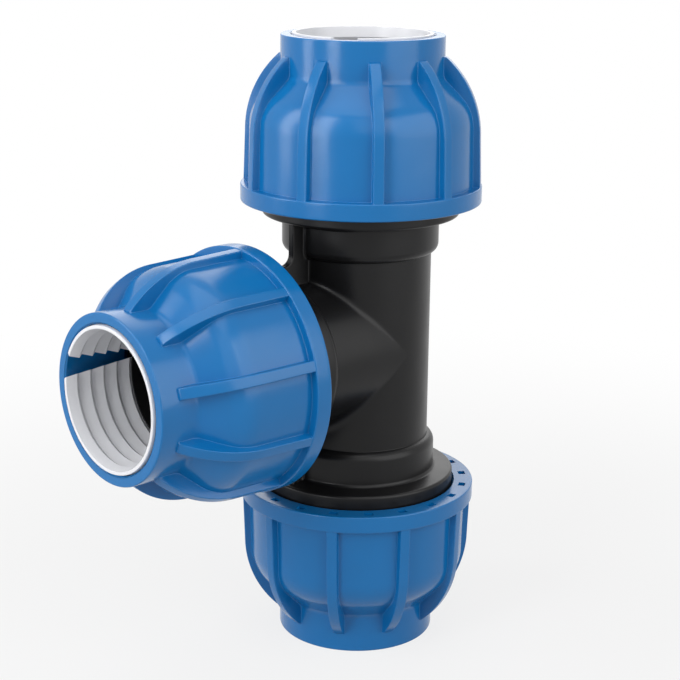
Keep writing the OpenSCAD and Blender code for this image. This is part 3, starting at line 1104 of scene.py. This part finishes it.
# Distance of the soft lamps from the tee's centre, and for each of them: degrees to the right of the
# camera, degrees up, width, height, watts
LAMP_AWAY = 1.2
LAMPS = {
    "near_left_softbox": (-41, 22, 0.36, 1.17, 8.4),
    "far_left_softbox": (-81, 22, 0.34, 1.17, 6.6),
    "front_softbox": (12, 32, 0.8, 0.8, 1.8),
    "right_softbox": (56, 22, 1.15, 1.17, 9.3),
    "top_softbox": (-20, 78, 1.0, 1.0, 5.2),
    "back_softbox": (172, 34, 1.1, 1.0, 5.0),
}


def make_floor(finishes):
    """A pale round floor at the height on which the tee stands. It takes the tee's shadow. To the eye
    it is partly as white as the surroundings, and wholly so further out. It stays under the bottom nut
    when that is unscrewed, as the tee then stands higher."""
    turn = np.arange(FLOOR_POINTS) * TURN / FLOOR_POINTS
    mesh = bpy.data.meshes.new("floor")
    mesh.from_pydata(polar(FLOOR_R, turn, 0), [], [list(range(FLOOR_POINTS))])
    floor = put("floor", mesh)
    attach(floor, "bottom_cap")
    material = bpy.data.materials.new("pale_floor")
    tree = emptied(material)
    place = add(tree, "ShaderNodeTexCoord").outputs["Object"]
    away = add(tree, "ShaderNodeVectorMath", links={0: place}, operation="LENGTH").outputs["Value"]
    fade = add(
        tree, "ShaderNodeMapRange",
        {"From Min": FADE_FROM, "From Max": FADE_TO, "To Min": GLOW_NEAR, "To Max": 1},
        {"Value": away}, interpolation_type="SMOOTHSTEP",
    ).outputs["Result"]
    white = add(
        tree, "ShaderNodeMath", links={0: fade, 1: seen_directly(tree)}, operation="MULTIPLY"
    ).outputs[0]
    paint = add(tree, "ShaderNodeBsdfDiffuse", {"Color": (*finishes.floor, 1)}).outputs["BSDF"]
    glow = add(tree, "ShaderNodeEmission", {"Color": (1, 1, 1, 1), "Strength": 1})
    mixed = add(
        tree, "ShaderNodeMixShader", links={0: white, 1: paint, 2: glow.outputs["Emission"]}
    )
    add(tree, "ShaderNodeOutputMaterial", links={"Surface": mixed.outputs["Shader"]})
    mesh.materials.append(material)


def make_surroundings():
    """White where the surroundings are seen, and an even dimmer light from them on everything."""
    world = bpy.data.worlds.new("white_surroundings")
    tree = emptied(world)
    soft = add(tree, "ShaderNodeBackground", {"Color": (1, 1, 1, 1), "Strength": ROOM_LIGHT})
    white = add(tree, "ShaderNodeBackground", {"Color": (1, 1, 1, 1), "Strength": 1})
    mixed = add(tree, "ShaderNodeMixShader", links={
        0: seen_directly(tree), 1: soft.outputs["Background"], 2: white.outputs["Background"]
    })
    add(tree, "ShaderNodeOutputWorld", links={"Surface": mixed.outputs["Shader"]})
    bpy.context.scene.world = world


def from_centre(azimuth, elevation, distance):
    """The point at that azimuth, elevation and distance from the tee's centre, and the way to it."""
    flat = math.cos(elevation)
    way = Vector((math.sin(azimuth) * flat, -math.cos(azimuth) * flat, math.sin(elevation)))
    return Vector((0, 0, CENTRE_Z)) + way * distance, way


def make_lamps(view):
    """Large soft lamps, each pointing at the tee's centre."""
    for name, (right, up, width, height, watts) in LAMPS.items():
        lamp = bpy.data.lights.new(name, "AREA")
        lamp.shape = "RECTANGLE"
        lamp.size, lamp.size_y, lamp.energy = width, height, watts
        lit = put(name, lamp)
        azimuth, elevation = view.azimuth + math.radians(right), math.radians(up)
        lit.location, way = from_centre(azimuth, elevation, LAMP_AWAY)
        lit.rotation_euler = (-way).to_track_quat("-Z", "Y").to_euler()
        lit.visible_camera = False


def make_camera(view):
    """The camera at the photograph's view. Its axes are built from azimuth and elevation, then turned
    by the roll about the line of sight."""
    camera = bpy.data.cameras.new("camera")
    camera.lens, camera.sensor_width = view.lens, SENSOR_MM
    eye, back = from_centre(view.azimuth, view.elevation, view.distance)
    right = Vector((math.cos(view.azimuth), math.sin(view.azimuth), 0))
    eye += -view.aim_left * right - view.aim_down * Vector((0, 0, 1))
    up = back.cross(right)
    across = math.cos(view.roll) * right + math.sin(view.roll) * up
    upright = math.cos(view.roll) * up - math.sin(view.roll) * right
    held = put("camera", camera)
    held.matrix_world = Matrix.Translation(eye) @ Matrix((across, upright, back)).transposed().to_4x4()
    bpy.context.scene.camera = held


OPERATORS = [TEE_OT_body, TEE_OT_nuts, TEE_OT_clinch_rings, TEE_OT_seals, TEE_OT_stage]


class TEE_PT_panel(Panel):
    """Lists the pieces of the tee and the stage"""

    bl_idname = "TEE_PT_panel"
    bl_label = "Compression Tee"
    bl_space_type = "VIEW_3D"
    bl_region_type = "UI"
    bl_category = "Tee"

    def draw(self, context):
        for operator in OPERATORS:
            self.layout.operator(operator.bl_idname)
        for name in TeeSettings.__annotations__:
            group = getattr(settings(), name)
            box = self.layout.box()
            for shown in type(group).__annotations__:
                box.prop(group, shown)


GROUPS = [BodySizes, ThreadSizes, NutSizes, RingSizes, SealSizes, Turns, Finishes, View, TeeSettings]


def register():
    """Makes the sidebar, its settings and the operators known."""
    for cls in [*GROUPS, *OPERATORS, TEE_PT_panel]:
        bpy.utils.register_class(cls)
    bpy.types.Scene.tee = PointerProperty(type=TeeSettings)


def unregister():
    """Takes them away again."""
    del bpy.types.Scene.tee
    for cls in reversed([*GROUPS, *OPERATORS, TEE_PT_panel]):
        bpy.utils.unregister_class(cls)


def main():
    """Builds the pieces and the stage."""
    register()
    bpy.ops.tee.body()
    bpy.ops.tee.nuts()
    bpy.ops.tee.clinch_rings()
    bpy.ops.tee.seals()
    bpy.ops.tee.stage()


if __name__ == "__main__":
    main()
